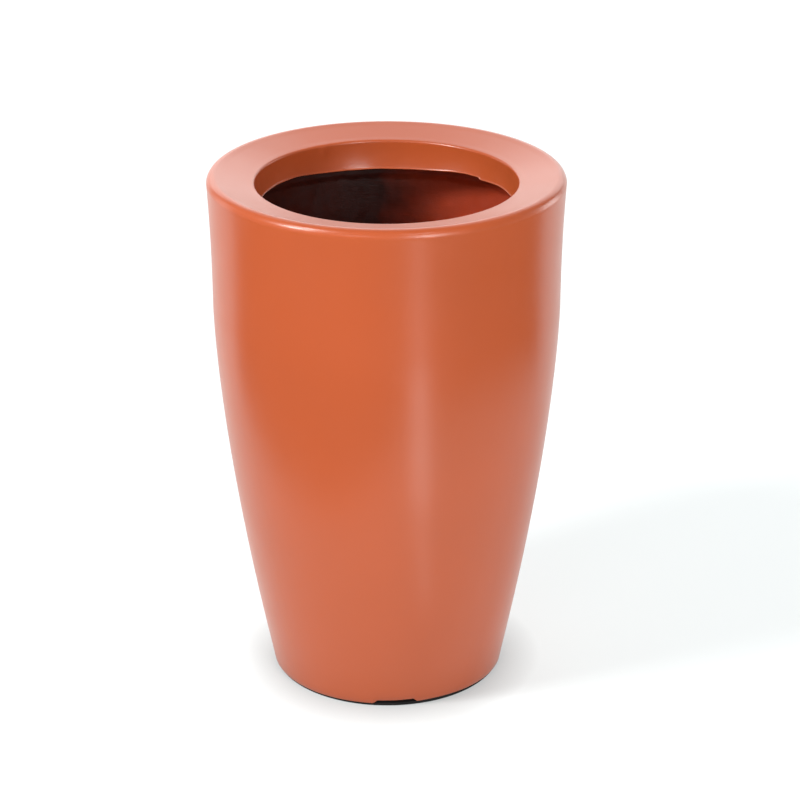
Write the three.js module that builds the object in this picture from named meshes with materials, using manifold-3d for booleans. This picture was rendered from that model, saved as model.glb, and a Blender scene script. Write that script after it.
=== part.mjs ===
// A tall round planter of glass-fibre laminate. A tapering shell carries a turned-in rim that is
// moulded by itself and bonded on from inside. A raised floor with a drain hole and its bung closes
// the shell, and the whole thing stands on a black ring that sits in the shell's lower end.
// Millimetres, +Z up. The origin is the centre of the footprint at ground level, the front faces -Y.

import * as THREE from 'three';
import { mergeVertices } from 'three/addons/utils/BufferGeometryUtils.js';
import Module from 'manifold-3d';

const wasm = await Module();
wasm.setup();

// Driving dimensions: overall shape
const rimDiameter = 400;
const totalHeight = 600;
const baseDiameter = 268;       // across the shell's lower edge
const neckDiameter = 392;       // across the wall where the taper ends and the flare begins
const flareHeight = 141;        // the stretch of wall that flares, below the rim's rounded edge
const taperPower = 1.52;        // how the taper swells: 1 is a straight cone
const flarePower = 2.24;

// Shell
const shellWall = 4.5;
const footHeight = 3.1;         // ground to the shell's lower edge
const notchWidth = 51;          // the low notch in the lower edge, at the front
const notchHeight = 3.7;
const notchRamp = 6;
const notchAngle = 3.8;         // degrees from the front towards +X

// Rim
const openingDiameter = 293;
const rimFall = 8.8;            // from the rim's highest line down to its inner lip
const edgeRound = 9;
const lipRound = 3;
const rimWall = 4.5;
const rimEdgeHeight = 18;       // the rim's outer edge, from its top down to the seam with the shell
const skirtDepth = 30;          // how far the rim's skirt reaches down inside the shell
const collarDepth = 29.5;       // lip to the collar's lower edge
const collarDraft = 1.5;        // the collar widens this much on its way down,
const collarCurl = 2.6;         // and draws in this much again towards its lower edge
const trimDip = 4.7;            // the collar is trimmed by hand and reaches this much lower at the back
const trimDipAngle = 183;       // degrees from the front, where the dip is deepest
const trimDipSpread = 36;       // degrees to each side

// Bonding strips
const stripThickness = 2.5;
const stripOverlap = 24;        // how far the rim's strip runs above and below the skirt's lower edge
const filletLeg = 26;           // how far the floor's strip runs up the wall and in over the floor
const filletToe = 2;

// Floor, drain hole and bung
const floorClearance = 14;      // ground to the floor's underside
const floorThickness = 6;
const drainDiameter = 25;
const plugClearance = 0.5;      // around the bung's shank, in the drain hole
const plugFlangeDiameter = 36;
const plugFlangeThickness = 3;
const plugReach = 3;            // how far the shank comes out below the floor
const plugTaper = 1.5;
const plugTaperLength = 4;
const gripDiameter = 15;
const gripHeight = 9;
const gripEdge = 1.5;

// Ring that the planter stands on
const footSetback = 2;          // from the shell's outer face in to the ring's
const footWidth = 24;
const footChamfer = 0.6;
const weepWidth = 16;           // slots under the ring that let the drained water out
const weepHeight = 5;
const weepAngles = [110, 180, 250];

// Fits and fineness
const gap = 0.3;                // left between faces that touch
const ringSegments = 72;
const plugSegments = 36;
const taperSteps = 13;
const flareSteps = 4;
const edgeSteps = 7;
const lipSteps = 3;
const collarSteps = 4;
const filletSteps = 5;
const cutMargin = 2;            // how far a cutting body runs past what it cuts
const freeMargin = 2;           // from what stands on the floor to its free stretch

// Heights and radii that follow from them
const rimRadius = rimDiameter / 2;
const baseRadius = baseDiameter / 2;
const neckRadius = neckDiameter / 2;
const openingRadius = openingDiameter / 2;
const drainRadius = drainDiameter / 2;
const edgeCentreZ = totalHeight - edgeRound;
const edgeCentreRadius = rimRadius - edgeRound;
const neckZ = edgeCentreZ - flareHeight;
const seamZ = totalHeight - rimEdgeHeight;
const skirtBottomZ = seamZ - skirtDepth;
const lipZ = totalHeight - rimFall;
const lipCentreRadius = openingRadius + lipRound;
const collarTopZ = lipZ - lipRound;
const collarBottomZ = lipZ - collarDepth;
const floorTopZ = floorClearance + floorThickness;

// Outer radius of the wall at a height: a swelling taper up to the neck, then a slight flare.
function outerRadius(z) {
  if (z < neckZ) {
    const below = (neckZ - z) / (neckZ - footHeight);
    return neckRadius - (neckRadius - baseRadius) * below ** taperPower;
  }
  const above = Math.min((z - neckZ) / flareHeight, 1);
  return neckRadius + (rimRadius - neckRadius) * above ** flarePower;
}

function innerRadius(z) {
  return outerRadius(z) - shellWall;
}

// Points on a face of revolution between two heights, as [radius, z].
function wallPoints(radiusAt, fromZ, toZ, steps) {
  return Array.from({ length: steps + 1 }, (_, i) => {
    const z = fromZ + (toZ - fromZ) * i / steps;
    return [radiusAt(z), z];
  });
}

function arcPoints(centreRadius, centreZ, radius, fromAngle, toAngle, steps) {
  return Array.from({ length: steps + 1 }, (_, i) => {
    const angle = fromAngle + (toAngle - fromAngle) * i / steps;
    return [centreRadius + radius * Math.cos(angle), centreZ + radius * Math.sin(angle)];
  });
}

// Turns a profile of [radius, z] points about Z. The points run up the outer side and down the inner.
function turned(profile, segments) {
  const points = profile.map(([radius, z]) => new THREE.Vector2(radius, z));
  const geometry = new THREE.LatheGeometry(points, segments);
  geometry.rotateX(Math.PI / 2);
  geometry.deleteAttribute('normal');
  geometry.deleteAttribute('uv');
  return mergeVertices(geometry);
}

function turnedRing(profile) {
  return turned([...profile, profile[0]], ringSegments);
}

function toSolid(geometry) {
  const bare = mergeVertices(geometry);
  const vertProperties = new Float32Array(bare.attributes.position.array);
  const triVerts = new Uint32Array(bare.index.array);
  return new wasm.Manifold(new wasm.Mesh({ numProp: 3, vertProperties, triVerts }));
}

function toGeometry(solid) {
  const mesh = solid.getMesh();
  const geometry = new THREE.BufferGeometry();
  geometry.setAttribute('position', new THREE.BufferAttribute(mesh.vertProperties, 3));
  geometry.setIndex(new THREE.BufferAttribute(mesh.triVerts, 1));
  return geometry;
}

// Cuts an upright outline, drawn in X and Z, outwards through a ring at an angle from the front.
function cutRadially(ring, outline, reach, angle) {
  const start = reach / 2;
  const cutter = new THREE.ExtrudeGeometry(new THREE.Shape(outline), {
    depth: reach - start,
    bevelEnabled: false,
  });
  cutter.rotateX(Math.PI / 2);
  cutter.translate(0, -start, 0);
  cutter.rotateZ(THREE.MathUtils.degToRad(angle));
  cutter.deleteAttribute('normal');
  cutter.deleteAttribute('uv');
  return ring.subtract(toSolid(cutter));
}

function makeBodyShell() {
  const outer = [
    ...wallPoints(outerRadius, footHeight, neckZ, taperSteps),
    ...wallPoints(outerRadius, neckZ, seamZ, flareSteps).slice(1),
  ];
  const inner = outer.map(([radius, z]) => [radius - shellWall, z]).reverse();
  const ring = toSolid(turnedRing([...outer, ...inner]));
  const notch = [
    new THREE.Vector2(-notchWidth / 2, footHeight - cutMargin),
    new THREE.Vector2(notchWidth / 2, footHeight - cutMargin),
    new THREE.Vector2(notchWidth / 2, footHeight),
    new THREE.Vector2(notchWidth / 2 - notchRamp / 2, footHeight + notchHeight),
    new THREE.Vector2(-notchWidth / 2 + notchRamp, footHeight + notchHeight),
    new THREE.Vector2(-notchWidth / 2, footHeight),
  ];
  return toGeometry(cutRadially(ring, notch, baseRadius + cutMargin, notchAngle));
}

// The tilt of the rim's top, a line that touches the roundings of its outer edge and its lip.
function rimTilt() {
  const run = edgeCentreRadius - lipCentreRadius;
  const rise = edgeRound - lipRound - rimFall;
  return Math.asin((edgeRound - lipRound) / Math.hypot(run, rise)) - Math.atan2(rise, run);
}

// Radius of the collar's inner face, from 0 at the lip to 1 at its lower edge.
function collarRadius(share) {
  return openingRadius + collarDraft * share - collarCurl * share ** 3;
}

function makeRimRing() {
  const tilt = rimTilt();
  const topAngle = Math.PI / 2 + tilt;
  const skirtOuter = (z) => innerRadius(z) - gap;
  const skirtInner = (z) => skirtOuter(z) - rimWall;
  const hiddenTopZ = (radius) => edgeCentreZ + (edgeRound - rimWall) / Math.cos(tilt)
    + (radius - edgeCentreRadius) * Math.tan(tilt);
  const collarBack = openingRadius + rimWall;
  const collar = Array.from({ length: collarSteps }, (_, i) => (i + 1) / collarSteps)
    .map((share) => [collarRadius(share), collarTopZ - (collarTopZ - collarBottomZ) * share]);
  const profile = [
    [skirtOuter(skirtBottomZ), skirtBottomZ],
    [skirtOuter(seamZ), seamZ + gap],
    [outerRadius(seamZ), seamZ + gap],
    ...arcPoints(edgeCentreRadius, edgeCentreZ, edgeRound, 0, topAngle, edgeSteps),
    ...arcPoints(lipCentreRadius, collarTopZ, lipRound, topAngle, Math.PI, lipSteps),
    ...collar,
    ...collar.map(([radius, z]) => [radius + rimWall, z]).reverse(),
    [collarBack, hiddenTopZ(collarBack)],
    [skirtInner(seamZ), hiddenTopZ(skirtInner(seamZ))],
    [skirtInner(seamZ), seamZ],
    [skirtInner(skirtBottomZ), skirtBottomZ],
  ];
  const geometry = turnedRing(profile);
  const vertices = geometry.attributes.position;
  for (let i = 0; i < vertices.count; i += 1) {
    const [x, y, z] = [vertices.getX(i), vertices.getY(i), vertices.getZ(i)];
    const onCollarEdge = Math.hypot(x, y) < collarBack + collarDraft + gap
      && Math.abs(z - collarBottomZ) < gap;
    if (onCollarEdge) {
      vertices.setZ(i, z - trimDip * trimShare(Math.atan2(x, -y)));
    }
  }
  return geometry;
}

// How much of the trimmed dip the collar's edge has at an angle from the front, from 0 to 1.
function trimShare(angle) {
  const fromDip = angle - THREE.MathUtils.degToRad(trimDipAngle);
  const turn = 2 * Math.PI;
  const nearest = fromDip - turn * Math.round(fromDip / turn);
  return Math.exp(-((nearest / THREE.MathUtils.degToRad(trimDipSpread)) ** 4));
}

// A strip of laminate that steps from the skirt's inner face out to the shell's, over the skirt's edge.
function makeRimBond() {
  const topZ = skirtBottomZ + stripOverlap;
  const bottomZ = skirtBottomZ - stripOverlap;
  const stepZ = skirtBottomZ - gap;
  const onShell = (z) => innerRadius(z) - gap;
  const onSkirt = (z) => onShell(z) - rimWall - gap;
  return turnedRing([
    [onShell(bottomZ), bottomZ],
    [onShell(stepZ), stepZ],
    [onSkirt(stepZ), stepZ],
    [onSkirt(topZ), topZ],
    [onSkirt(topZ) - stripThickness, topZ],
    [onSkirt(stepZ) - stripThickness, stepZ - stripThickness],
    [onShell(stepZ) - stripThickness, stepZ - stripThickness - rimWall],
    [onShell(bottomZ) - stripThickness, bottomZ],
  ]);
}

// The floor's flat top has an edge line on each side of the stretch that nothing covers.
function makeBaseFloor() {
  const edge = (z) => innerRadius(z) - gap;
  return turnedRing([
    [edge(floorClearance), floorClearance],
    [edge(floorTopZ), floorTopZ],
    [filletInnerRadius() - freeMargin, floorTopZ],
    [plugFlangeDiameter / 2 + freeMargin, floorTopZ],
    [drainRadius, floorTopZ],
    [drainRadius, floorClearance],
  ]);
}

function filletInnerRadius() {
  return innerRadius(floorTopZ + gap) - gap - filletLeg;
}

// A hollow-faced strip in the corner between the floor and the wall.
function makeFloorBond() {
  const bottomZ = floorTopZ + gap;
  const topZ = bottomZ + filletLeg;
  const wall = (z) => innerRadius(z) - gap;
  const toeRadius = filletInnerRadius();
  const hollow = new THREE.QuadraticBezierCurve(
    new THREE.Vector2(wall(topZ) - filletToe, topZ),
    new THREE.Vector2(wall(bottomZ) - filletToe, bottomZ + filletToe),
    new THREE.Vector2(toeRadius, bottomZ + filletToe),
  );
  return turnedRing([
    [toeRadius, bottomZ],
    [wall(bottomZ), bottomZ],
    [wall(topZ), topZ],
    ...hollow.getPoints(filletSteps).map((point) => [point.x, point.y]),
  ]);
}

// An upstand inside the shell, under the floor, with a flange below the shell's lower edge.
function makeFootRing() {
  const outer = baseRadius - footSetback;
  const inner = outer - footWidth;
  const flangeTopZ = footHeight - gap;
  const upstandTopZ = floorClearance - gap;
  const upstand = (z) => innerRadius(z) - gap;
  const ring = toSolid(turnedRing([
    [inner, 0],
    [outer - footChamfer, 0],
    [outer, footChamfer],
    [outer, flangeTopZ],
    [upstand(footHeight), flangeTopZ],
    [upstand(upstandTopZ), upstandTopZ],
    [inner, upstandTopZ],
  ]));
  const slot = [
    new THREE.Vector2(-weepWidth / 2, -cutMargin),
    new THREE.Vector2(weepWidth / 2, -cutMargin),
    new THREE.Vector2(weepWidth / 2, weepHeight),
    new THREE.Vector2(-weepWidth / 2, weepHeight),
  ];
  return toGeometry(weepAngles.reduce(
    (cut, angle) => cutRadially(cut, slot, outer + cutMargin, angle),
    ring,
  ));
}

// A rubber bung: a tapered shank through the floor, a flange on it and a grip to pull it by.
function makeDrainPlug() {
  const shank = drainRadius - plugClearance;
  const tipZ = floorClearance - plugReach;
  const flangeZ = floorTopZ + gap;
  const flangeTopZ = flangeZ + plugFlangeThickness;
  const gripTopZ = flangeTopZ + gripHeight;
  const grip = gripDiameter / 2;
  return turned([
    [0, tipZ],
    [shank - plugTaper, tipZ],
    [shank, tipZ + plugTaperLength],
    [shank, flangeZ],
    [plugFlangeDiameter / 2, flangeZ],
    [plugFlangeDiameter / 2, flangeTopZ],
    [grip, flangeTopZ],
    [grip, gripTopZ - gripEdge],
    [grip - gripEdge, gripTopZ],
    [0, gripTopZ],
  ], plugSegments);
}

const paintedLaminate = { color: 0xc9683f, roughness: 0.35, metalness: 0 };
const roughLaminate = { color: 0x7d3622, roughness: 0.75, metalness: 0 };
const blackFoot = { color: 0x131211, roughness: 0.7, metalness: 0 };
const plugRubber = { color: 0x2a2a2c, roughness: 0.85, metalness: 0 };

const planter = new THREE.Group();

function addPiece(name, geometry, finish) {
  geometry.computeVertexNormals();
  const piece = new THREE.Mesh(geometry, new THREE.MeshStandardMaterial(finish));
  piece.name = name;
  planter.add(piece);
}

addPiece('body_shell', makeBodyShell(), paintedLaminate);
addPiece('rim_ring', makeRimRing(), paintedLaminate);
addPiece('rim_bond', makeRimBond(), roughLaminate);
addPiece('base_floor', makeBaseFloor(), roughLaminate);
addPiece('floor_bond', makeFloorBond(), roughLaminate);
addPiece('foot_ring', makeFootRing(), blackFoot);
addPiece('drain_plug', makeDrainPlug(), plugRubber);

export default planter;
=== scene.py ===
"""A tall round planter of painted glass-fibre laminate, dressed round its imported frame.

Metres, +Z up, the front faces -Y. Angles round the planter run from the front towards +X.
"""

import math

import bpy
from mathutils import Matrix, Vector, noise


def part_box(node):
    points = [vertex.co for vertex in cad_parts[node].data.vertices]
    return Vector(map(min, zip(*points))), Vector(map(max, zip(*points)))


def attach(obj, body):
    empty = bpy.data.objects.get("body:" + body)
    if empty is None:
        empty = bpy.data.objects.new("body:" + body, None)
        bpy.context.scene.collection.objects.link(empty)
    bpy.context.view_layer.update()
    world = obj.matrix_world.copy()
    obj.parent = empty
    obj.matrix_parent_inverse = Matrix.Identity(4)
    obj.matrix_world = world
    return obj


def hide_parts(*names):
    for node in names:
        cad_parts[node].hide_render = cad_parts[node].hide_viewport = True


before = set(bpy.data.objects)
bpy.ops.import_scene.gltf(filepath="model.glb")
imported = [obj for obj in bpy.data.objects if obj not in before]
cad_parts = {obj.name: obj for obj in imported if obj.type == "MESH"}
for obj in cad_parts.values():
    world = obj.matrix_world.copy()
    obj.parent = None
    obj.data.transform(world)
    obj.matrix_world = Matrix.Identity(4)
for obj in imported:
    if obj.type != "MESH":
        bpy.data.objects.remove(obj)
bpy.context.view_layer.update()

MM = 0.001

# Read from the frame
rim_low, rim_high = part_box("rim_ring")
shell_low, shell_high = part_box("body_shell")
floor_low, floor_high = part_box("base_floor")
fillet_low, fillet_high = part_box("floor_bond")
strip_low, strip_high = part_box("rim_bond")
_, foot_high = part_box("foot_ring")
plug_low, plug_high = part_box("drain_plug")
RIM_RADIUS = rim_high.x
TOP_Z = rim_high.z
SEAM_Z = shell_high.z
FOOT_Z = shell_low.z
SKIRT_Z = rim_low.z
FOOT_RADIUS = foot_high.x

# Shape of the wall, as the shell was moulded
BASE_RADIUS = 134 * MM
NECK_RADIUS = 196 * MM
FLARE_HEIGHT = 141 * MM
TAPER_POWER = 1.52
FLARE_POWER = 2.24
SHELL_WALL = 4.5 * MM
NOTCH_WIDTH = 51 * MM
NOTCH_HEIGHT = 3.7 * MM
NOTCH_ANGLE = math.radians(3.8)
NOTCH_RAMP_LEFT = 6 * MM
NOTCH_RAMP_RIGHT = 3 * MM

# Shape of the rim and its collar
OPENING_RADIUS = 146.5 * MM
RIM_FALL = 8.8 * MM
EDGE_ROUND = 9 * MM
LIP_ROUND = 3 * MM
RIM_WALL = 4.5 * MM
COLLAR_DEPTH = 29.5 * MM
COLLAR_DRAFT = 0.5 * MM
COLLAR_CURL = 4.5 * MM
COLLAR_BEAD = 0.5 * MM
TRIM_DIP = 4.7 * MM
TRIM_DIP_ANGLE = math.radians(183)
TRIM_DIP_SPREAD = math.radians(36)
TRIM_STEP = 2.2 * MM
TRIM_STEP_ANGLE = math.radians(132)
TRIM_STEP_RAMP = math.radians(1.6)
TRIM_STEP_SPREAD = 0.2          # radians
TRIM_RAGGED = 0.4 * MM
LIP_KINK = 0.8 * MM
LIP_KINK_ANGLE = math.radians(210)
LIP_KINK_SPREAD = 0.03          # radians

# Shape of the lower edge and of the ring that it stands on
EDGE_RISE = 1.5 * MM
EDGE_RISE_ANGLE = math.radians(29)
EDGE_RISE_SPREAD = math.radians(26)
EDGE_DROP = 0.9 * MM
EDGE_RAGGED = 0.12 * MM
FOOT_WIDTH = 24 * MM
WEEP_WIDTH = 16 * MM
WEEP_HEIGHT = 5 * MM
WEEP_ANGLES = (110, 180, 250)

# Floor, bonding strips and bung
DRAIN_RADIUS = 12.5 * MM
STRIP_THICKNESS = 2.5 * MM
FEATHER = 0.7 * MM
PLUG_CLEARANCE = 0.5 * MM
PLUG_FLANGE_THICKNESS = 3 * MM
PLUG_TAPER = 1.5 * MM
PLUG_TAPER_LENGTH = 4 * MM
GRIP_RADIUS = 7.5 * MM
TOUCH = 0.3 * MM

# Unevenness of moulded and hand-laid faces: how high or deep their waves, dents and lumps are
WALL_WAVE = 0.14 * MM
TOP_WAVE = 0.25 * MM
COLLAR_DENTS = 0.35 * MM
COLLAR_DIMPLES = 0.16 * MM
MAT_FOLDS = 0.5 * MM
MAT_LUMPS = 0.42 * MM
STRIP_TEAR = 3 * MM
FILLET_TEAR = 3.5 * MM
TOE_TEAR = 4 * MM
STRIP_RELIEF = 0.6          # shares of the shell's mat relief
FLOOR_RELIEF = 0.8
FILLET_RELIEF = 0.7

# Strands of the glass mat, and the ways in which they lie
STRAND_LENGTH = 30 * MM
STRAND_WIDTH = 1.6 * MM
STRAND_TURNS = ((0.2, 0.5, 0.1), (1.1, 0.2, 1.3), (0.4, 1.2, 2.2), (2.0, 0.9, 0.6), (0.7, 2.1, 1.9))

# Paint inside: its colours, dark as painted shade and red, which on the +X side is painted light; the places
# between which the red takes over, sideways and further down, and how ragged the sideways edge is
PAINTED_SHADE_INSIDE = (0.025, 0.004, 0.002)
LIGHTER_PAINTED_SHADE_INSIDE = (0.05, 0.007, 0.003)
INSIDE_RED_AND_PAINTED_LIGHT = (0.5, 0.055, 0.015)
PAINTED_LIGHT_SIDE = (10 * MM, 110 * MM)
PAINTED_SHADE_LOW_FADE = (150 * MM, 380 * MM)
PAINTED_LIGHT_RAGGED = 40 * MM

# Studio floor, and the black card's inner edge as degrees from the front and radius
STAGE_HALF = 9
FLOOR_WHITE = (0.40, 0.42, 0.42)
FLOOR_GLOW = 1.29
# Painted shade on the floor: how dark it is painted at the foot, and how far out it fades
CONTACT_SHADE = 0.7
CONTACT_SHADE_REACH = 50 * MM
CARD_EDGE = ((-108, 0.88), (-85, 0.66), (-60, 0.54), (-40, 0.5), (-15, 0.55), (5, 0.7), (30, 0.82), (60, 0.9),
             (90, 0.95), (112, 1.0))
CARD_REACH = 3.2
CARD_Z = 4 * MM

# Lamps: name, place or degrees from the front and up, size, watts
WORLD_STRENGTH = 0.3
LAMP_TARGET = Vector((0, 0, 0.5))
BACKDROPS = (
    ("backdrop_low", (0, 4.5, 0.6), (7, 1.2), 37),
    ("backdrop", (0, 4.0, 2.2), (6, 1.8), 80),
    ("backdrop_high", (0, 3.0, 4.2), (5, 2.4), 42),
)
LAMP_DISTANCE = 3.2
LAMPS = (
    ("key", -62, 33, (0.6, 0.6), 66),
    ("key_high", -62, 50, (0.3, 0.3), 34),
    ("front_left", -58, 14, (0.9, 1.6), 5),
    ("front", -18, 25, (0.9, 0.9), 8),
    ("front_right", 26, 14, (0.9, 1.6), 50),
    ("right_high", 26, 50, (0.25, 0.25), 8),
)
SIDE_DISTANCE = 3.0
SIDE_TARGET = Vector((0, 0, 0.35))
SIDE_SIZE = (1.0, 1.8)
SIDE_LAMPS = (("side_left", -120, 0.9, 9), ("side_right", 120, 0.6, 26))    # degrees, height, watts

# Strips on the floor that draw the streak down the front: start and end along their line, width, watts
STREAK_START = Vector((0.085, -0.276, 0.012))
STREAK_TURN = math.radians(17.3)
STREAK_SHIFT = 40 * MM
STREAK_STRIPS = ((0, 0.22, 0.05, 0.03), (0.22, 0.5, 0.12, 0.3), (0.5, 0.9, 0.15, 0.85), (0.9, 1.5, 0.17, 0.5))

# Camera
CAMERA_PLACE = (0.0149, -2.8369, 1.5277)
CAMERA_DOWN = 22.963            # degrees
CAMERA_LENS = 120.8             # mm
SENSOR_WIDTH = 36               # mm

# Fineness
SEGMENTS = 360
BUNG_SEGMENTS = 96
SHARP = math.radians(35)

# Worked out from the sizes above
EDGE_CENTRE_Z = TOP_Z - EDGE_ROUND
EDGE_CENTRE_RADIUS = RIM_RADIUS - EDGE_ROUND
NECK_Z = EDGE_CENTRE_Z - FLARE_HEIGHT
LIP_Z = TOP_Z - RIM_FALL
LIP_CENTRE_RADIUS = OPENING_RADIUS + LIP_ROUND
COLLAR_Z = LIP_Z - COLLAR_DEPTH


# ---------------------------------------------------------------- profiles

def outer_radius(z):
    """Radius of the wall's outer face: a swelling taper up to the neck, then a slight flare."""
    if z < NECK_Z:
        below = (NECK_Z - z) / (NECK_Z - FOOT_Z)
        return NECK_RADIUS - (NECK_RADIUS - BASE_RADIUS) * below ** TAPER_POWER
    above = min((z - NECK_Z) / FLARE_HEIGHT, 1)
    return NECK_RADIUS + (RIM_RADIUS - NECK_RADIUS) * above ** FLARE_POWER


def inner_radius(z):
    return outer_radius(z) - SHELL_WALL


def steps(start, end, count):
    """count + 1 even values from start to end."""
    return [start + (end - start) * i / count for i in range(count + 1)]


def arc(centre_radius, centre_z, radius, start, end, count):
    return [
        (centre_radius + radius * math.cos(a), centre_z + radius * math.sin(a))
        for a in steps(start, end, count)
    ]


def smooth(x):
    """0 below 0, 1 above 1, and an easy curve between."""
    x = min(max(x, 0), 1)
    return x * x * (3 - 2 * x)


def on_circle(angle, radius, z):
    return Vector((radius * math.sin(angle), -radius * math.cos(angle), z))


def lumps(point, size, octaves=3, seed=0):
    """Even noise from about -1 to 1, with lumps of the given size in metres."""
    return noise.fractal(point / size + Vector((seed, seed * 1.7, -seed)), 1.0, 2.0, octaves)


# ---------------------------------------------------------------- meshes

def turned(name, profile, materials, place=None, closed=True, segments=SEGMENTS):
    """Turns a profile of (radius, z, zone) about Z. materials has each zone's; place moves each point.

    The profile runs up the outer side and down the inner, so the faces point out. A point on the axis
    becomes one vertex.
    """
    vertices = []
    rows = []
    for radius, z, zone in profile:
        around = segments if radius > 0 else 1
        rows.append([len(vertices) + i for i in range(around)])
        for i in range(around):
            angle = 2 * math.pi * i / segments
            r, height = place(radius, z, zone, angle) if place else (radius, z)
            vertices.append(on_circle(angle, r, height))
    faces = []
    zones = []
    for j in range(len(rows) if closed else len(rows) - 1):
        lower = rows[j]
        upper = rows[(j + 1) % len(rows)]
        for i in range(segments):
            ring = [lower[i % len(lower)], lower[(i + 1) % segments % len(lower)],
                    upper[(i + 1) % segments % len(upper)], upper[i % len(upper)]]
            faces.append(list(dict.fromkeys(ring)))
            zones.append(profile[j][2])
    mesh = bpy.data.meshes.new(name)
    mesh.from_pydata(vertices, [], faces)
    slots = list(dict.fromkeys(materials.values()))
    for material in slots:
        mesh.materials.append(material)
    mesh.polygons.foreach_set("material_index", [slots.index(materials[zone]) for zone in zones])
    return smoothed(name, mesh)


def smoothed(name, mesh):
    mesh.shade_smooth()
    mesh.set_sharp_from_angle(angle=SHARP)
    mesh.update()
    piece = bpy.data.objects.new(name, mesh)
    bpy.context.scene.collection.objects.link(piece)
    return piece


def cut(piece, cutters):
    """Takes the cutters out of a piece and deletes them."""
    for cutter in cutters:
        modifier = piece.modifiers.new("cut", "BOOLEAN")
        modifier.object = cutter
        modifier.solver = "EXACT"
    bpy.context.view_layer.update()
    result = bpy.data.meshes.new_from_object(piece.evaluated_get(bpy.context.evaluated_depsgraph_get()))
    piece.modifiers.clear()
    piece.data = result
    result.set_sharp_from_angle(angle=SHARP)
    for cutter in cutters:
        bpy.data.objects.remove(cutter)


def rounded_block(width, height, corner, start, end, angle):
    """A radial cutter from radius start to end: width across, height tall, its upper corners rounded."""
    half = width / 2
    outline = [(-half, -height), (half, -height)]
    for side, turn in ((half - corner, 0), (corner - half, math.pi / 2)):
        outline += arc(side, height - corner, corner, turn, turn + math.pi / 2, 6)
    count = len(outline)
    turned_by = Matrix.Rotation(angle, 4, "Z")
    vertices = [turned_by @ Vector((x, -radius, z)) for radius in (start, end) for x, z in outline]
    faces = [list(range(count))[::-1], [count + i for i in range(count)]]
    faces += [[i, (i + 1) % count, count + (i + 1) % count, count + i] for i in range(count)]
    mesh = bpy.data.meshes.new("cutter")
    mesh.from_pydata(vertices, [], faces)
    mesh.validate()
    block = bpy.data.objects.new("cutter", mesh)
    bpy.context.scene.collection.objects.link(block)
    return block


def zoned(points, zone):
    """Adds the zone's name to each (radius, z)."""
    return [(radius, z, zone) for radius, z in points]


def wall_wave(angle, z):
    """The mould's slight unevenness, never outwards."""
    point = on_circle(angle, RIM_RADIUS, z)
    return -WALL_WAVE * (1 + lumps(point, 160 * MM, octaves=2, seed=3))


def notch_rise(angle):
    """Height of the notch in the shell's lower edge."""
    across = math.remainder(angle - NOTCH_ANGLE, 2 * math.pi) * BASE_RADIUS
    left = smooth((across + NOTCH_WIDTH / 2) / NOTCH_RAMP_LEFT)
    right = smooth((NOTCH_WIDTH / 2 - across) / NOTCH_RAMP_RIGHT)
    return NOTCH_HEIGHT * left * right


def edge_lift(angle):
    """How far the hand-trimmed lower edge of the shell stands above its even line."""
    from_rise = math.remainder(angle - EDGE_RISE_ANGLE, 2 * math.pi)
    rise = EDGE_RISE * math.exp(-((from_rise / EDGE_RISE_SPREAD) ** 2))
    ragged = EDGE_RAGGED * lumps(on_circle(angle, BASE_RADIUS, 0), 30 * MM, octaves=2, seed=41)
    return rise - EDGE_DROP * math.sin(angle) ** 2 + ragged


def trim_dip(angle):
    """How far the hand-trimmed collar reaches below its even edge."""
    from_dip = math.remainder(angle - TRIM_DIP_ANGLE, 2 * math.pi)
    dip = TRIM_DIP * math.exp(-((from_dip / TRIM_DIP_SPREAD) ** 4))
    from_step = math.remainder(angle - TRIM_STEP_ANGLE, 2 * math.pi)
    past_step = smooth(0.5 - from_step / TRIM_STEP_RAMP)
    step = TRIM_STEP * past_step * math.exp(-((from_step / TRIM_STEP_SPREAD) ** 2))
    ragged = lumps(on_circle(angle, OPENING_RADIUS, 0), 30 * MM, seed=5)
    return dip + step + TRIM_RAGGED * ragged


# ---------------------------------------------------------------- materials

def new_material(name):
    material = bpy.data.materials.new(name)
    material.use_nodes = True
    tree = material.node_tree
    shader = tree.nodes["Principled BSDF"]
    coordinates = tree.nodes.new("ShaderNodeTexCoord").outputs["Object"]
    return material, tree, shader, coordinates


def noise_field(tree, coordinates, size, detail=3):
    """A noise from 0 to 1 with lumps of the given size in metres."""
    field = tree.nodes.new("ShaderNodeTexNoise")
    field.inputs["Scale"].default_value = 1 / size
    field.inputs["Detail"].default_value = detail
    tree.links.new(coordinates, field.inputs["Vector"])
    return field.outputs["Fac"]


def mapped(tree, value, low, high, start=0.3, end=0.7):
    """A value from start to end, spread from low to high."""
    node = tree.nodes.new("ShaderNodeMapRange")
    node.inputs["From Min"].default_value = start
    node.inputs["From Max"].default_value = end
    node.inputs["To Min"].default_value = low
    node.inputs["To Max"].default_value = high
    tree.links.new(value, node.inputs["Value"])
    return node.outputs["Result"]


def mixed(tree, factor, first, second):
    """Mixes two colours, each a colour value or a socket."""
    node = tree.nodes.new("ShaderNodeMix")
    node.data_type = "RGBA"
    for socket, colour in ((node.inputs[6], first), (node.inputs[7], second)):
        if isinstance(colour, tuple):
            socket.default_value = (*colour, 1)
        else:
            tree.links.new(colour, socket)
    tree.links.new(factor, node.inputs[0])
    return node.outputs[2]


def larger(tree, first, second):
    """The larger of two values."""
    node = tree.nodes.new("ShaderNodeMath")
    node.operation = "MAXIMUM"
    tree.links.new(first, node.inputs[0])
    tree.links.new(second, node.inputs[1])
    return node.outputs[0]


def bumped(tree, shader, height, strength, distance):
    """Gives the shader a fine relief of the given depth in metres."""
    node = tree.nodes.new("ShaderNodeBump")
    node.inputs["Strength"].default_value = strength
    node.inputs["Distance"].default_value = distance
    tree.links.new(height, node.inputs["Height"])
    tree.links.new(node.outputs["Normal"], shader.inputs["Normal"])


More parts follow.
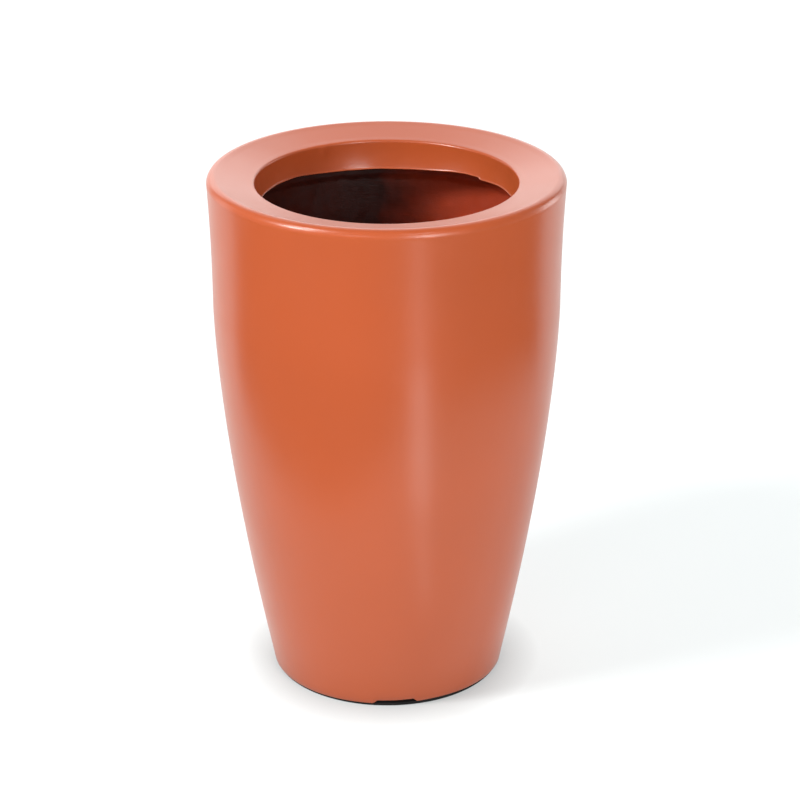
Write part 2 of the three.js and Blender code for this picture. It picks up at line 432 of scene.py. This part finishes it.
def terracotta_paint():
    """Satin paint over smooth gel coat: even, with a faint drift of tone and a trace of orange peel."""
    material, tree, shader, at = new_material("terracotta_paint")
    broad = mapped(tree, noise_field(tree, at, 140 * MM, 2), 0, 1)
    base = mixed(tree, broad, (0.398, 0.0725, 0.0187), (0.416, 0.0755, 0.0199))
    tree.links.new(base, shader.inputs["Base Color"])
    rough = mapped(tree, noise_field(tree, at, 40 * MM), 0.28, 0.31)
    tree.links.new(rough, shader.inputs["Roughness"])
    shader.inputs["IOR"].default_value = 1.5
    bumped(tree, shader, noise_field(tree, at, 6 * MM, 2), 0.08, 0.1 * MM)
    return material


def strands(tree, coordinates, turns):
    """Chopped glass strands lying every way under the resin: the strongest of several stretched noises."""
    strongest = None
    for turn in turns:
        mapping = tree.nodes.new("ShaderNodeMapping")
        mapping.inputs["Rotation"].default_value = turn
        mapping.inputs["Scale"].default_value = (1 / STRAND_LENGTH, 1 / STRAND_WIDTH, 1 / STRAND_WIDTH)
        tree.links.new(coordinates, mapping.inputs["Vector"])
        field = tree.nodes.new("ShaderNodeTexNoise")
        field.inputs["Scale"].default_value = 1
        field.inputs["Detail"].default_value = 1
        tree.links.new(mapping.outputs["Vector"], field.inputs["Vector"])
        if strongest is None:
            strongest = field.outputs["Fac"]
            continue
        strongest = larger(tree, strongest, field.outputs["Fac"])
    return strongest


def laminate_paint():
    """Paint over bare glass mat: dark as painted shade, red as painted light on the +X side, and plain red
    further down.
    """
    material, tree, shader, at = new_material("laminate_paint")
    broad = mapped(tree, noise_field(tree, at, 50 * MM), 0, 1)
    # painted shade: the inside is painted dark, patchy at random
    thin = mixed(tree, broad, PAINTED_SHADE_INSIDE, LIGHTER_PAINTED_SHADE_INSIDE)
    place = tree.nodes.new("ShaderNodeSeparateXYZ")
    tree.links.new(at, place.inputs[0])
    # painted light: the +X side is painted red, with a ragged edge
    ragged = tree.nodes.new("ShaderNodeMath")
    ragged.operation = "MULTIPLY_ADD"
    tree.links.new(noise_field(tree, at, 30 * MM), ragged.inputs[0])
    ragged.inputs[1].default_value = PAINTED_LIGHT_RAGGED
    tree.links.new(place.outputs["X"], ragged.inputs[2])
    sideways = mapped(tree, ragged.outputs[0], 0, 1, *PAINTED_LIGHT_SIDE)
    # further down, the painted shade fades into plain red
    downwards = mapped(tree, place.outputs["Z"], 1, 0, *PAINTED_SHADE_LOW_FADE)
    base = mixed(tree, larger(tree, sideways, downwards), thin, INSIDE_RED_AND_PAINTED_LIGHT)
    tree.links.new(base, shader.inputs["Base Color"])
    rough = mapped(tree, noise_field(tree, at, 12 * MM), 0.38, 0.6)
    tree.links.new(rough, shader.inputs["Roughness"])
    mat = strands(tree, at, STRAND_TURNS)
    bumped(tree, shader, mat, 0.5, 0.6 * MM)
    return material


def bare_laminate():
    """Unpainted laminate: straw-coloured resin over glass mat, with milky strands."""
    material, tree, shader, at = new_material("bare_laminate")
    mat = strands(tree, at, STRAND_TURNS)
    pale = mapped(tree, mat, 0, 1, 0.55, 0.75)
    base = mixed(tree, pale, (0.21, 0.16, 0.085), (0.42, 0.37, 0.25))
    tree.links.new(base, shader.inputs["Base Color"])
    rough = mapped(tree, noise_field(tree, at, 10 * MM), 0.3, 0.5)
    tree.links.new(rough, shader.inputs["Roughness"])
    bumped(tree, shader, mat, 0.5, 0.6 * MM)
    return material


def black_foot_finish():
    material, tree, shader, at = new_material("black_foot")
    dusty = mapped(tree, noise_field(tree, at, 20 * MM, 5), 0, 1)
    base = mixed(tree, dusty, (0.004, 0.004, 0.004), (0.012, 0.011, 0.0105))
    tree.links.new(base, shader.inputs["Base Color"])
    shader.inputs["Specular IOR Level"].default_value = 0.2
    rough = mapped(tree, noise_field(tree, at, 8 * MM), 0.55, 0.8)
    tree.links.new(rough, shader.inputs["Roughness"])
    bumped(tree, shader, noise_field(tree, at, 2 * MM, 3), 0.3, 0.2 * MM)
    return material


def rubber_finish():
    material, tree, shader, at = new_material("plug_rubber")
    bloom = mapped(tree, noise_field(tree, at, 8 * MM, 4), 0, 1)
    base = mixed(tree, bloom, (0.022, 0.022, 0.024), (0.045, 0.044, 0.043))
    tree.links.new(base, shader.inputs["Base Color"])
    rough = mapped(tree, noise_field(tree, at, 4 * MM), 0.6, 0.85)
    tree.links.new(rough, shader.inputs["Roughness"])
    bumped(tree, shader, noise_field(tree, at, 0.8 * MM, 2), 0.25, 0.1 * MM)
    return material


PAINT = terracotta_paint()
INSIDE = laminate_paint()
BARE = bare_laminate()
BLACK = black_foot_finish()
RUBBER = rubber_finish()


# ---------------------------------------------------------------- pieces

def mat_relief(angle, radius, z):
    """The relief of glass mat under its resin: broad folds and small lumps."""
    point = on_circle(angle, radius, z)
    folds = lumps(point, 45 * MM, octaves=2, seed=11)
    mat = lumps(point, 11 * MM, seed=17)
    return MAT_FOLDS * folds + MAT_LUMPS * mat


def stand_for(piece, node, body="planter"):
    """Puts a piece in the place of a node of the frame."""
    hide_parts(node)
    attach(piece, body)


def make_shell():
    edge = 1.1 * MM
    blend_z = FOOT_Z + 14 * MM
    relief_start = 20 * MM
    low = outer_radius(FOOT_Z)
    outer = [(outer_radius(z), z) for z in steps(FOOT_Z + edge, SEAM_Z, 96)]
    inner = [(inner_radius(z), z) for z in steps(SEAM_Z, FOOT_Z + edge, 150)]
    profile = [
        *zoned(arc(low - edge, FOOT_Z + edge, edge, -math.pi / 2, 0, 4)[:-1], "outer"),
        *zoned(outer, "outer"),
        *zoned(inner, "inner"),
        *zoned(arc(low - SHELL_WALL + edge, FOOT_Z + edge, edge, math.pi, 1.5 * math.pi, 4)[1:], "inner"),
    ]

    def place(radius, z, zone, angle):
        lift = notch_rise(angle) + edge_lift(angle)
        height = z + lift * smooth((blend_z - z) / (blend_z - FOOT_Z))
        if zone == "outer":
            return radius + wall_wave(angle, z), height
        return radius - abs(mat_relief(angle, radius, z)) * smooth((z - FOOT_Z) / relief_start), height

    shell = turned("shell_wall", profile, {"outer": PAINT, "inner": INSIDE}, place)
    stand_for(shell, "body_shell")


def rim_tilt():
    run = EDGE_CENTRE_RADIUS - LIP_CENTRE_RADIUS
    rise = EDGE_ROUND - LIP_ROUND - RIM_FALL
    return math.asin((EDGE_ROUND - LIP_ROUND) / math.hypot(run, rise)) - math.atan2(rise, run)


def make_rim():
    tilt = rim_tilt()
    top = math.pi / 2 + tilt
    outer_edge = arc(EDGE_CENTRE_RADIUS, EDGE_CENTRE_Z, EDGE_ROUND, 0, top, 16)
    lip = arc(LIP_CENTRE_RADIUS, LIP_Z - LIP_ROUND, LIP_ROUND, top, math.pi, 9)
    slope = list(zip(steps(outer_edge[-1][0], lip[0][0], 10), steps(outer_edge[-1][1], lip[0][1], 10)))
    edge = 1.2 * MM
    bead_height = 2.5 * MM
    fade = 6 * MM       # the dents fade over this height on either side of the lip's end
    least = 0.4         # and this share of them stays above it
    collar_top = LIP_Z - LIP_ROUND

    def collar_radius(z):
        """The collar widens a little, then draws in towards its trimmed edge, which ends in a slight bead."""
        share = (collar_top - z) / (collar_top - COLLAR_Z)
        bead = max(1 - (z - COLLAR_Z) / bead_height, 0)
        return OPENING_RADIUS + COLLAR_DRAFT * share - COLLAR_CURL * share ** 2 - COLLAR_BEAD * bead ** 2

    collar = [(collar_radius(z), z) for z in steps(collar_top, COLLAR_Z + edge, 26)]
    curled = collar_radius(COLLAR_Z)

    def under_z(radius):
        return (EDGE_CENTRE_Z + (EDGE_ROUND - RIM_WALL) / math.cos(tilt)
                + (radius - EDGE_CENTRE_RADIUS) * math.tan(tilt))

    back_radius = OPENING_RADIUS + RIM_WALL
    back_top = under_z(back_radius)
    skirt = inner_radius(SEAM_Z) - TOUCH
    skirt_low = inner_radius(SKIRT_Z) - TOUCH

    profile = [
        (skirt_low, SKIRT_Z, "hidden"),
        (skirt, SEAM_Z, "hidden"),
        *zoned([(outer_radius(z), z) for z in steps(SEAM_Z, EDGE_CENTRE_Z, 3)[:-1]], "wall"),
        *zoned(outer_edge, "wall"),
        *zoned(slope[1:-1], "top"),
        *zoned(lip, "lip"),
        *zoned(collar[1:], "collar"),
        *zoned(arc(curled + edge, COLLAR_Z + edge, edge, math.pi, 1.5 * math.pi, 4)[1:], "collar"),
        *zoned([(collar_radius(z) + RIM_WALL, z) for z in steps(COLLAR_Z, back_top, 12)], "back"),
        *zoned([(r, under_z(r)) for r in steps(back_radius, skirt - RIM_WALL, 8)][1:], "back"),
        (skirt - RIM_WALL, SEAM_Z, "back"),
        (skirt_low - RIM_WALL, SKIRT_Z, "back"),
    ]

    def place(radius, z, zone, angle):
        if zone in ("wall", "hidden"):
            return radius + wall_wave(angle, z), z
        point = on_circle(angle, radius, z)
        if zone == "top":
            return radius, z - TOP_WAVE * (1 + lumps(point, 90 * MM, octaves=2, seed=29))
        if radius > back_radius + COLLAR_DRAFT:
            return radius, z
        share = max((collar_top - z) / (collar_top - COLLAR_Z), 0)
        dents = COLLAR_DENTS * lumps(point, 70 * MM, octaves=2, seed=23)
        dimples = COLLAR_DIMPLES * lumps(point, 28 * MM, octaves=2, seed=37)
        from_kink = math.remainder(angle - LIP_KINK_ANGLE, 2 * math.pi)
        kink = LIP_KINK * math.exp(-((from_kink / LIP_KINK_SPREAD) ** 2)) * (1 - min(share * 2, 1))
        ease = smooth((collar_top + fade - z) / (2 * fade))
        return radius + (dents + dimples - kink) * (least + ease), z - trim_dip(angle) * share

    finish = {"hidden": INSIDE, "wall": PAINT, "top": PAINT, "lip": PAINT, "collar": PAINT, "back": INSIDE}
    rim = turned("rim_and_collar", profile, finish, place)
    stand_for(rim, "rim_ring")


def make_rim_strip():
    """The strip of glass mat over the joint inside, with torn, feathered edges."""
    step_z = SKIRT_Z - TOUCH
    on_shell = [(inner_radius(z) - TOUCH, z) for z in steps(strip_low.z, step_z, 16)]
    on_skirt = [(inner_radius(z) - 2 * TOUCH - RIM_WALL, z) for z in steps(step_z, strip_high.z, 16)]
    bend_low = step_z - STRIP_THICKNESS - RIM_WALL
    bend_high = step_z - STRIP_THICKNESS
    feather_width = 9 * MM

    def face(z):
        """The strip's inner face: thin at its edges, and a slanting step over the skirt's edge."""
        stepped = smooth((z - bend_low) / (bend_high - bend_low))
        edge_share = smooth(min(z - strip_low.z, strip_high.z - z) / feather_width)
        thickness = FEATHER + (STRIP_THICKNESS - FEATHER) * edge_share
        return inner_radius(z) - TOUCH - stepped * (RIM_WALL + TOUCH) - thickness

    inner = [(face(z), z) for z in steps(strip_high.z, strip_low.z, 44)]
    profile = zoned(on_shell + on_skirt, "outer") + zoned(inner, "inner")

    def place(radius, z, zone, angle):
        low_edge = STRIP_TEAR * lumps(on_circle(angle, RIM_RADIUS, 0), 20 * MM, seed=47)
        high_edge = STRIP_TEAR * lumps(on_circle(angle, RIM_RADIUS, 1), 20 * MM, seed=53)
        along = (z - strip_low.z) / (strip_high.z - strip_low.z)
        height = z + abs(low_edge) * (1 - along) ** 4 - abs(high_edge) * along ** 4
        if zone == "outer":
            return radius, height
        return radius - STRIP_RELIEF * mat_relief(angle, radius, z), height

    strip = turned("rim_joint_strip", profile, {"outer": BARE, "inner": INSIDE}, place)
    stand_for(strip, "rim_bond")


def make_floor():
    top = floor_high.z
    low = floor_low.z
    outer = floor_high.x
    edge = 1 * MM
    flat_width = 6 * MM
    hole = DRAIN_RADIUS
    profile = [
        (inner_radius(low) - TOUCH, low, "edge"),
        (outer, top, "top"),
        *zoned([(r, top) for r in steps(outer - edge, hole + edge, 60)], "top"),
        *zoned(arc(hole + edge, top - edge, edge, math.pi / 2, math.pi, 4)[1:], "top"),
        *zoned(arc(hole + edge, low + edge, edge, math.pi, 1.5 * math.pi, 4), "under"),
        *zoned([(r, low) for r in steps(hole + edge, inner_radius(low) - 2 * edge, 50)][1:], "under"),
    ]

    def place(radius, z, zone, angle):
        free = smooth((radius - hole - 2 * edge) / flat_width)
        relief = FLOOR_RELIEF * mat_relief(angle, radius, z) * free
        if zone == "top":
            return radius, z - abs(relief)
        if zone == "under":
            return radius, z + abs(relief)
        return radius, z

    floor = turned("inner_floor", profile, {"edge": BARE, "top": INSIDE, "under": BARE}, place)
    stand_for(floor, "base_floor")


def make_floor_strip():
    """The hollow-faced strip round the floor, its edges pressed out thin."""
    low = fillet_low.z
    top = fillet_high.z

    def wall(z):
        return inner_radius(z) - TOUCH

    slant = 0.7         # the face leans at about 45 degrees
    toe = wall(low) - (top - low)
    start = Vector((wall(top) - FEATHER, top))
    corner = Vector((wall(low) - 1.5 * MM, low + 1.5 * MM))
    end = Vector((toe, low + FEATHER))
    hollow = []
    for t in steps(0, 1, 30):
        point = start * (1 - t) ** 2 + corner * 2 * t * (1 - t) + end * t ** 2
        hollow.append((point.x, point.y))
    profile = [
        (toe, low, "hidden"),
        (wall(low), low, "hidden"),
        *zoned([(wall(z), z) for z in steps(low, top, 8)][1:], "hidden"),
        *zoned(hollow, "face"),
    ]

    def place(radius, z, zone, angle):
        point = on_circle(angle, 130 * MM, 0)
        up = (z - low) / (top - low)
        inwards = (wall(low) - radius) / (wall(low) - toe)
        height = z - FILLET_TEAR * abs(lumps(point, 20 * MM, seed=61)) * max(up, 0) ** 3
        r = radius + TOE_TEAR * abs(lumps(point, 24 * MM, seed=67)) * max(inwards, 0) ** 3
        if zone == "hidden":
            return r, height
        relief = FILLET_RELIEF * mat_relief(angle, radius, z) * smooth(up * 4) * smooth(inwards * 4)
        return r - relief * slant, height + relief * slant

    strip = turned("floor_joint_strip", profile, {"hidden": BARE, "face": INSIDE}, place)
    stand_for(strip, "floor_bond")


def make_foot_ring():
    outer = FOOT_RADIUS
    inner = outer - FOOT_WIDTH
    flange_z = FOOT_Z - TOUCH
    top = foot_high.z
    edge = 0.6 * MM
    slot_corner = 1.5 * MM
    past = 5 * MM
    upstand = [(inner_radius(max(z, FOOT_Z)) - TOUCH, z) for z in steps(flange_z, top - edge, 6)]
    profile = [
        (inner + edge, 0, "ring"),
        *zoned(arc(outer - edge, edge, edge, -math.pi / 2, 0, 3), "ring"),
        *zoned(arc(outer - edge, flange_z - edge, edge, 0, math.pi / 2, 3), "flange"),
        *zoned(upstand[1:], "ring"),
        *zoned(arc(upstand[-1][0] - edge, top - edge, edge, 0, math.pi / 2, 3)[1:], "ring"),
        *zoned(arc(inner + edge, top - edge, edge, math.pi / 2, math.pi, 3), "ring"),
        *zoned(arc(inner + edge, edge, edge, math.pi, 1.5 * math.pi, 3)[:-1], "ring"),
    ]

    def place(radius, z, zone, angle):
        if zone == "flange":
            return radius, z + edge_lift(angle)
        return radius, z

    ring = turned("black_foot_ring", profile, {"ring": BLACK, "flange": BLACK}, place)
    cut(ring, [
        rounded_block(WEEP_WIDTH, WEEP_HEIGHT, slot_corner, inner - past, outer + past, math.radians(angle))
        for angle in WEEP_ANGLES
    ])
    stand_for(ring, "foot_ring")


def make_bung():
    shank = DRAIN_RADIUS - PLUG_CLEARANCE
    tip = plug_low.z
    flange_z = floor_high.z + TOUCH
    flange = plug_high.x
    flange_top = flange_z + PLUG_FLANGE_THICKNESS
    grip_top = plug_high.z
    edge = 1 * MM
    waist = 1 * MM
    waist_z = (flange_top + grip_top) / 2
    profile = [
        (0, tip, "rubber"),
        *zoned([(r, tip) for r in steps(0, shank - PLUG_TAPER - edge, 3)[1:]], "rubber"),
        *zoned(arc(shank - PLUG_TAPER - edge, tip + edge, edge, -math.pi / 2, 0, 4)[1:], "rubber"),
        (shank, tip + PLUG_TAPER_LENGTH, "rubber"),
        (shank, flange_z, "rubber"),
        *zoned(arc(flange - edge, flange_z + edge, edge, -math.pi / 2, math.pi / 2, 8), "rubber"),
        *zoned(arc(GRIP_RADIUS + edge, flange_top + edge, edge, 1.5 * math.pi, math.pi, 4), "rubber"),
        (GRIP_RADIUS - waist, waist_z, "rubber"),
        *zoned(arc(GRIP_RADIUS - 2 * edge, grip_top - 2 * edge, 2 * edge, 0, math.pi / 2, 6), "rubber"),
        (0, grip_top, "rubber"),
    ]
    bung = turned("drain_bung", profile, {"rubber": RUBBER}, closed=False, segments=BUNG_SEGMENTS)
    stand_for(bung, "drain_plug", "plug")


make_shell()
make_rim()
make_rim_strip()
make_floor()
make_floor_strip()
make_foot_ring()
make_bung()


# ---------------------------------------------------------------- stage, light, camera

def make_stage():
    """A white floor that glows like a lit table, its glow cut to black under the planter as painted shade,
    and with a painted contact shade round the foot.
    """
    mesh = bpy.data.meshes.new("studio_floor")
    corners = [(x * STAGE_HALF, y * STAGE_HALF, 0) for x, y in ((-1, -1), (1, -1), (1, 1), (-1, 1))]
    mesh.from_pydata(corners, [], [(0, 1, 2, 3)])
    floor = bpy.data.objects.new("studio_floor", mesh)
    bpy.context.scene.collection.objects.link(floor)
    material, tree, shader, at = new_material("studio_white")
    distance = tree.nodes.new("ShaderNodeVectorMath")
    distance.operation = "LENGTH"
    tree.links.new(at, distance.inputs[0])
    # painted contact shade: the floor's colour and glow darkened round the foot
    shade = mapped(tree, distance.outputs["Value"], 0, 1, FOOT_RADIUS, FOOT_RADIUS + CONTACT_SHADE_REACH)
    tone = mixed(tree, shade, tuple(c * CONTACT_SHADE for c in FLOOR_WHITE), FLOOR_WHITE)
    tree.links.new(tone, shader.inputs["Base Color"])
    # painted shade: no glow from the floor under the planter
    outside = mapped(tree, distance.outputs["Value"], 0, 1, FOOT_RADIUS - FOOT_WIDTH, FOOT_RADIUS - TOUCH)
    tree.links.new(mixed(tree, outside, (0, 0, 0), tone), shader.inputs["Emission Color"])
    shader.inputs["Emission Strength"].default_value = FLOOR_GLOW
    shader.inputs["Roughness"].default_value = 0.8
    mesh.materials.append(material)


def make_flag():
    """A black card lying in front, which only the paint's gloss sees, as it would see a dark studio."""
    outline = [(math.radians(degrees), radius) for degrees, radius in CARD_EDGE]
    vertices = [on_circle(angle, radius, CARD_Z) for angle, radius in outline]
    vertices += [on_circle(angle, CARD_REACH, CARD_Z) for angle, radius in outline]
    count = len(outline)
    mesh = bpy.data.meshes.new("black_card")
    mesh.from_pydata(vertices, [], [(i, i + 1, count + i + 1, count + i) for i in range(count - 1)])
    material, _, shader, _ = new_material("black_card")
    shader.inputs["Base Color"].default_value = (0.01, 0.01, 0.01, 1)
    shader.inputs["Specular IOR Level"].default_value = 0
    mesh.materials.append(material)
    card = bpy.data.objects.new("black_card", mesh)
    bpy.context.scene.collection.objects.link(card)
    card.visible_camera = False
    card.visible_diffuse = False
    card.visible_shadow = False


def area_light(name, location, target, size, power):
    data = bpy.data.lights.new(name, "AREA")
    data.shape = "RECTANGLE"
    data.size, data.size_y = size
    data.energy = power
    light = bpy.data.objects.new(name, data)
    light.location = location
    light.rotation_euler = (Vector(target) - Vector(location)).to_track_quat("-Z", "Y").to_euler()
    light.visible_camera = False
    bpy.context.scene.collection.objects.link(light)
    return light


def make_light():
    """Soft lamps all round, the key high on the left, and low strips that draw the streak down the front."""
    world = bpy.data.worlds.new("studio")
    bpy.context.scene.world = world
    world.use_nodes = True
    background = world.node_tree.nodes["Background"]
    background.inputs["Color"].default_value = (1, 1, 1, 1)
    background.inputs["Strength"].default_value = WORLD_STRENGTH
    for name, place, size, power in BACKDROPS:
        area_light(name, place, LAMP_TARGET, size, power)
    for name, degrees, up, size, power in LAMPS:
        elevation = math.radians(up)
        away = on_circle(math.radians(degrees), math.cos(elevation), math.sin(elevation))
        area_light(name, LAMP_TARGET + away * LAMP_DISTANCE, LAMP_TARGET, size, power)
    for name, degrees, height, power in SIDE_LAMPS:
        place = on_circle(math.radians(degrees), SIDE_DISTANCE, height)
        area_light(name, place, SIDE_TARGET, SIDE_SIZE, power)
    along = on_circle(STREAK_TURN, 1, 0)
    sideways = Vector((-along.y, along.x, 0))
    for start, end, width, power in STREAK_STRIPS:
        place = STREAK_START + along * (start + end) / 2 + sideways * STREAK_SHIFT
        light = area_light("streak", place, LAMP_TARGET, (width, end - start), power)
        light.rotation_euler = (math.pi, 0, STREAK_TURN)    # flat on the floor, shining up
    bpy.context.scene.view_settings.view_transform = "Standard"


def make_camera():
    """The photograph's view: from 2.8 m in front and 1.5 m up, looking 23 degrees down."""
    data = bpy.data.cameras.new("camera")
    data.sensor_width = SENSOR_WIDTH
    data.lens = CAMERA_LENS
    camera = bpy.data.objects.new("camera", data)
    camera.location = CAMERA_PLACE
    camera.rotation_euler = (math.radians(90 - CAMERA_DOWN), 0, 0)
    bpy.context.scene.collection.objects.link(camera)
    bpy.context.scene.camera = camera


make_stage()
make_flag()
make_light()
make_camera()
